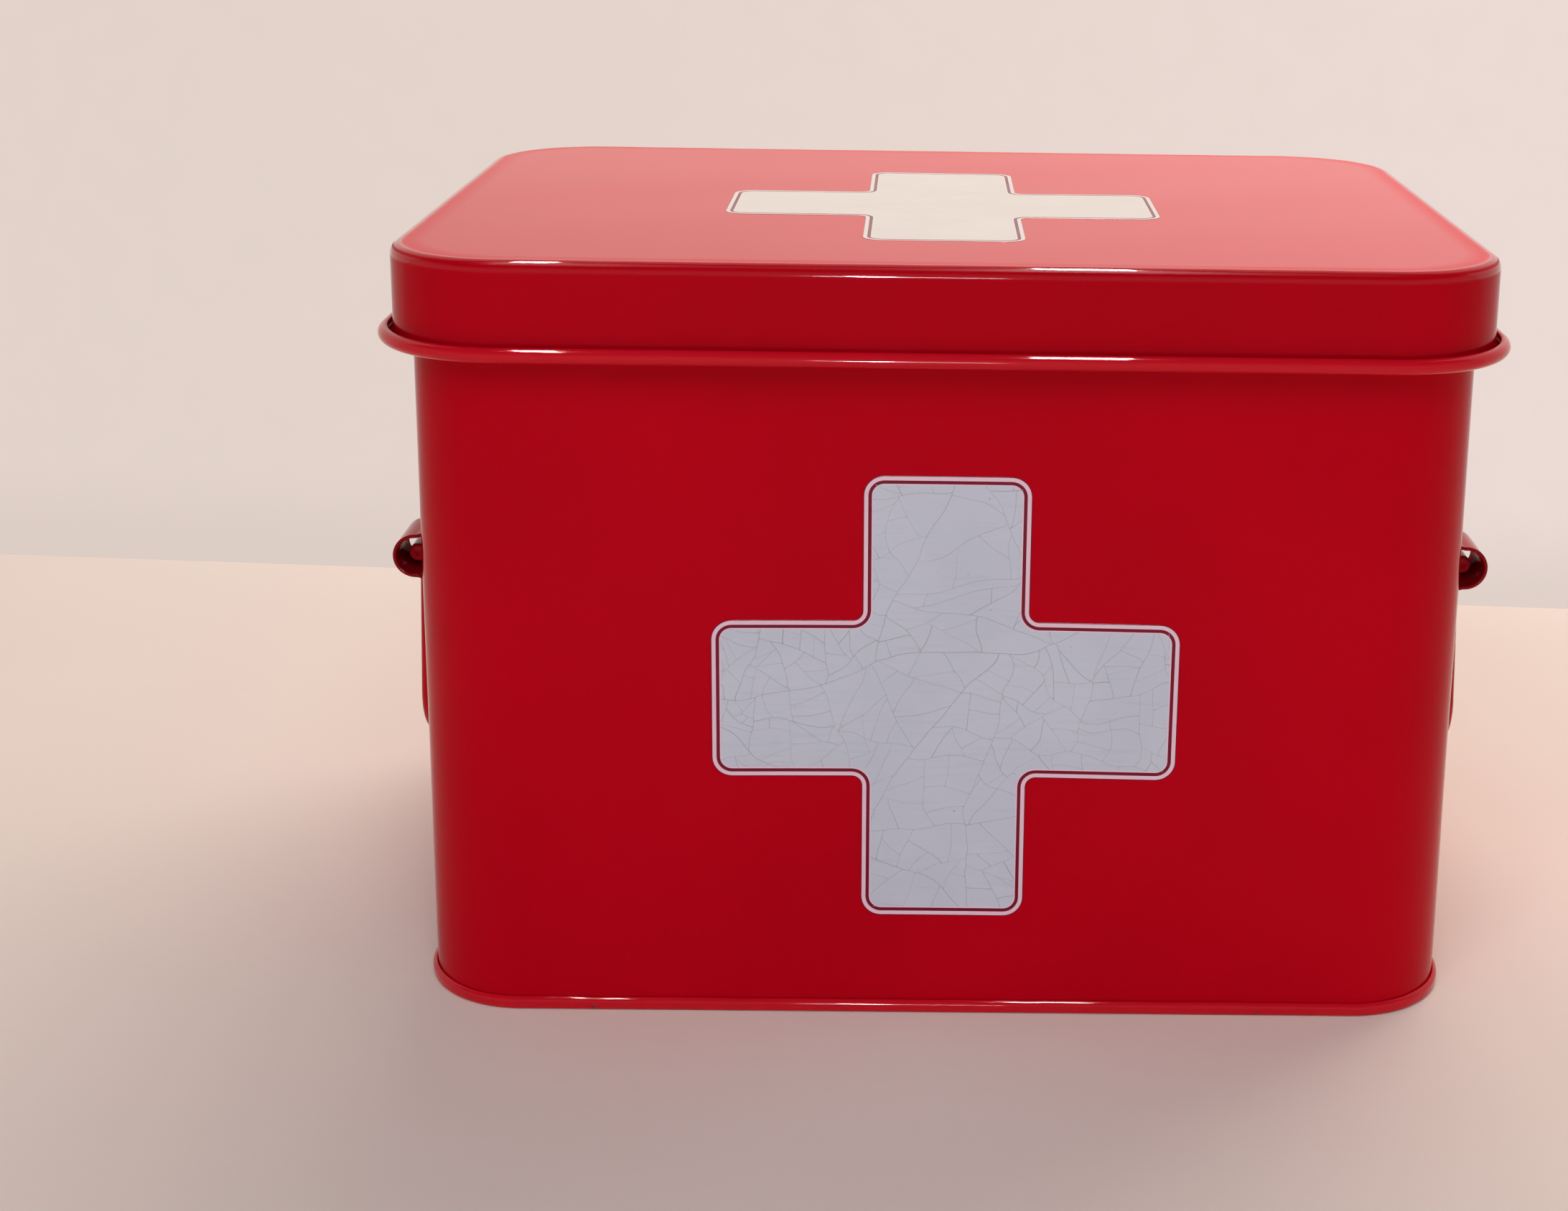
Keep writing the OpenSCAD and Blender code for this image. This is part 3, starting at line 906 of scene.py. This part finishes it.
def crackLines(s):
    # cells are halved until they are small, denser to the left; a crack is fainter the later it comes
    rng = np.random.default_rng(s["seed"])
    r = s["reach"]
    cells = [(np.array([[-r, -r], [r, -r], [r, r], [-r, r]]), 0)]
    lines, depths = [], []
    while cells:
        cell, age = cells.pop()
        x, y = cell.T
        area = 0.5 * abs((x * np.roll(y, -1) - np.roll(x, -1) * y).sum())
        least = s["denseCell"] if x.mean() < s["denseX"] else s["cell"]
        if area < least * math.exp(rng.normal(0, s["uneven"])):
            continue
        ends, one, two = splitCell(s, cell, rng)
        lines.append(ends)
        depth = s["depth"] - s["fading"] * age + rng.normal(0, s["spread"])
        depths.append(np.clip(depth, s["faintest"], s["darkest"]))
        cells += [(one, age + 1), (two, age + 1)]
    return np.array(lines), np.array(depths)


def onField(cross, point):
    # whether a point of the front print lies inside its border
    inset = printLook["bands"][3]
    long, short = cross["half"] - inset, cross["arm"] - inset
    x, y = np.abs(point[..., 0]), np.abs(point[..., 1])
    return ((x < long) & (y < short)) | ((x < short) & (y < long))


def cutBack(cross, near, far):
    # far ends that lie over the border move back to it, by halving
    low, high = near, far
    for _ in range(9):
        middle = (low + high) / 2
        inside = onField(cross, middle)[..., None]
        low, high = np.where(inside, middle, low), np.where(inside, high, middle)
    return np.where(onField(cross, far)[..., None], far, low)


def swayed(s, u, v, k):
    # how far a crack strays along axis k: the sum of long, middling and short waves over the print
    return sum(far * ripple(u, v, seed + k, *span) for far, seed, *span in s["sways"])


def buildCracks(s, cross, place):
    # a diamond section carried along each crack, with a closed end where the crack ends or meets the border
    corners, marks, faces = [], [], []
    section = ((-1, s["edge"]), (0, s["crest"]), (1, s["edge"]), (0, s["keel"]))
    total = 0
    for ends, depth in zip(*crackLines(s)):
        steps = max(4, math.ceil(np.linalg.norm(ends[1] - ends[0]) / s["step"]))
        path = run(ends[0], ends[1], steps, 0)
        u, v = path.T
        path = path + np.stack([swayed(s, u, v, k) for k in (0, 1)], 1)
        inside = onField(cross, path)
        before, after = np.r_[False, inside[:-1]], np.r_[inside[1:], False]
        near = np.where(before[:, None], np.roll(path, 1, axis=0), np.roll(path, -1, axis=0))
        path = np.where((~inside & (before | after))[:, None], cutBack(cross, near, path), path)
        ahead = np.gradient(path, axis=0)
        ahead /= np.linalg.norm(ahead, axis=1, keepdims=True) + 1e-9
        deep = depth * np.clip(0.75 + 0.5 * ripple(u, v, *s["deepWaves"]), 0.1, 1)
        width = s["fine"] + (s["wide"] - s["fine"]) * deep
        aside = np.stack([-ahead[:, 1], ahead[:, 0]], 1) * width[:, None] / 2
        rings = np.stack([place(*(path + shift * aside).T, lift) for shift, lift in section], 1)
        # lengths between stations that are drawn, with none past the ends
        drawn = np.r_[False, inside[:-1] | inside[1:], False]
        used = drawn[:-1] | drawn[1:]
        number = total + 4 * (np.cumsum(used) - 1)
        kept = np.flatnonzero(drawn[1:-1])
        here, there = number[kept], number[kept + 1]
        for a in range(4):
            b = (a + 1) % 4
            faces += np.stack([here + a, here + b, there + b, there + a], 1).tolist()
        opens, closes = np.flatnonzero(~drawn[:-1] & drawn[1:]), np.flatnonzero(drawn[:-1] & ~drawn[1:])
        faces += (number[opens][:, None] + [3, 2, 1, 0]).tolist()
        faces += (number[closes][:, None] + [0, 1, 2, 3]).tolist()
        corners.append(rings[used].reshape(-1, 3))
        marks.append(np.repeat(deep[used], 4))
        total += 4 * int(used.sum())
    return (np.concatenate(corners), faces), {"deep": np.concatenate(marks)}


crackPaint = crazedLine("crazedLine", printLook)
crackSurface, crackMarks = buildCracks(crazeSizes, crossSizes, onFront)
makePiece("crazing_front", crackSurface, "box", crackPaint, (), crackMarks)
print("crazing laid:", len(crackSurface[1]), "faces")


# floor, back wall and light

stageSizes = {
    "half": 2.4, "wallLine": ((-0.2395, 0.2923), (0.2441, 0.2566)), "wallTop": 1.6,  # metres
    "table": (0.92, 0.80, 0.73, 1), "tableOther": (0.89, 0.77, 0.70, 1), "tableRough": 0.8,
    "wallLeft": (0.765, 0.65, 0.59, 1), "wallRight": (0.845, 0.72, 0.675, 1),
    "wallFootShade": (0.69, 0.585, 0.535, 1), "wallGrain": (0.70, 0.60, 0.54, 1),
    "tableCloud": 260, "tableGrain": 5, "tablePits": 7, "pitDepth": 0.12,  # mm
    "wallCloud": 420, "grainSize": 16,  # mm
}


def stagePlane(name, corners, paint):
    # one flat quad that isn't part of the tin
    mesh = bpy.data.meshes.new(name)
    mesh.from_pydata(corners, [], [(0, 1, 2, 3)])
    mesh.materials.append(paint)
    plane = bpy.data.objects.new(name, mesh)
    scene.collection.objects.link(plane)
    return plane


def floorPaint(name, look):
    # pale, faintly uneven matt table top
    p = Paint(bpy.data.materials.new(name))
    tone = p.mix(p.rise(p.noise(look["tableCloud"], 3), 0.3, 0.7), look["table"], look["tableOther"])
    tone = p.mix(p.rise(p.noise(look["tableGrain"], 4), 0.35, 0.75) * 0.25, tone, look["tableOther"])
    pits = p.noise(look["tablePits"], 3) * look["pitDepth"]
    return p.feed({"Base Color": tone, "Normal": p.bump(pits)}, {"Roughness": look["tableRough"], "IOR": 1.0})


def wallPaper(name, look):
    # pale wall that glows, with painted light brighter to the right and painted shade at its foot; seen by
    # the camera and in reflections from its front; clear from behind and to other light
    p = Paint(bpy.data.materials.new(name))
    across, up = [p.node("ShaderNodeSeparateXYZ", {}, {0: p.place}, axis) for axis in (0, 2)]
    drift = across + p.noise(look["wallCloud"], 3) * 0.1
    # painted light: brighter to the right
    tone = p.mix(p.rise(drift, -0.35, 0.55), look["wallLeft"], look["wallRight"])
    # painted shade: darker at the foot of the wall
    tone = p.mix((1 - p.rise(up, 0.0, 0.05)) * 0.6, tone, look["wallFootShade"])
    tone = p.mix(p.rise(p.noise(look["grainSize"], 4), 0.3, 0.8) * 0.12, tone, look["wallGrain"])
    p.feed({"Emission Color": tone}, {"Base Color": (0, 0, 0, 1), "IOR": 1.0, "Emission Strength": 1.0})
    behind = p.node("ShaderNodeNewGeometry", {}, {}, "Backfacing")
    clear = p.node("ShaderNodeBsdfTransparent", {}, {})
    paper = Term(p, p.tree.nodes["Principled BSDF"].outputs[0])
    p.show("Material Output", p.looking() * (1 - behind), clear, paper)
    return p.owner


far, wallTop = stageSizes["half"], stageSizes["wallTop"]
(ax, ay), (bx, by) = stageSizes["wallLine"]
slope = (by - ay) / (bx - ax)
leftY, rightY = ay + slope * (-far - ax), ay + slope * (far - ax)
tableTop = floorPaint("tableTop", stageSizes)
backPaint = wallPaper("backPaint", stageSizes)
stagePlane("floor", [(-far, -far, 0), (far, -far, 0), (far, far, 0), (-far, far, 0)], tableTop)
wallCorners = [(-far, leftY, 0), (far, rightY, 0), (far, rightY, wallTop), (-far, leftY, wallTop)]
backWall = stagePlane("backWall", wallCorners, backPaint)
backWall.visible_shadow = False
backWall.visible_diffuse = False

lampSizes = {
    # name: place, aimed at, width and height in metres, watts, colour, lights surfaces or only their gloss
    "backPanel": ((0.38, 0.98, 1.25), (0.0, 0.0, 0.1), (1.6, 0.9), 20.5, (1.0, 0.885, 0.78), "surface"),
    "frontPanel": ((-0.3, -1.75, 1.9), (0.0, -0.1, 0.1), (2.0, 1.4), 24.0, (0.91, 0.94, 1.0), "surface"),
    "lowPanel": ((-0.1, -2.2, 0.55), (0.0, -0.1, 0.1), (1.6, 0.8), 3.0, (0.91, 0.94, 1.0), "surface"),
    "stripLeft": ((-0.186, -0.1, 0.68), (-0.186, -0.1, 0.0), (0.02, 0.4), 2.1, (1.0, 0.95, 0.9), "gloss"),
    "stripRight": ((0.069, -0.1, 0.68), (0.069, -0.1, 0.0), (0.047, 0.4), 4.9, (1.0, 0.98, 0.97), "gloss"),
    "paneMiddle": ((-0.057, -2.0, 0.11), (-0.057, 0.0, 0.11), (0.045, 0.18), 7.0, (0.9, 0.94, 1.0), "gloss"),
    "paneWide": ((-0.02, -2.0, 0.11), (-0.02, 0.0, 0.11), (0.2, 0.16), 2.6, (0.86, 0.9, 1.0), "gloss"),
}


def hangLamp(name, place, target, size, watts, colour, use):
    # a rectangular lamp at place, turned towards target, that the camera doesn't see
    data = bpy.data.lights.new(name, "AREA")
    data.shape = "RECTANGLE"
    data.size, data.size_y = size
    data.energy = watts
    data.color = colour
    lamp = bpy.data.objects.new(name, data)
    scene.collection.objects.link(lamp)
    ahead = np.array(target) - np.array(place)
    ahead /= np.linalg.norm(ahead)
    right = np.cross(ahead, (0, 1, 0) if abs(ahead[2]) > 0.9 else (0, 0, 1))
    right /= np.linalg.norm(right)
    lamp.matrix_world = facing(right, np.cross(right, ahead), ahead, place)
    lamp.visible_camera = False
    lamp.visible_diffuse = use == "surface"
    lamp.visible_glossy = use == "gloss"


for lampName, lampParts in lampSizes.items():
    hangLamp(lampName, *lampParts)

roomLook = {
    "light": (0.80, 0.78, 0.77, 1), "strength": 0.25,
    "around": (0.56, 0.50, 0.465, 1), "above": (0.05, 0.046, 0.044, 1), "fade": (0.28, 0.7),
}


def roomLight(look):
    # soft light from all round; what the camera and reflections see is pale near the horizon and dim above
    scene.world = bpy.data.worlds.new("room")
    p = Paint(scene.world, "Generated")
    up = p.node("ShaderNodeSeparateXYZ", {}, {0: p.place}, 2)
    tone = p.mix(p.rise(up, *look["fade"]), look["around"], look["above"])
    soft = p.node("ShaderNodeBackground", {}, {"Color": look["light"], "Strength": look["strength"]})
    seen = p.node("ShaderNodeBackground", {}, {"Color": tone})
    p.show("World Output", p.looking(), soft, seen)


roomLight(roomLook)
print("stage and lamps set")
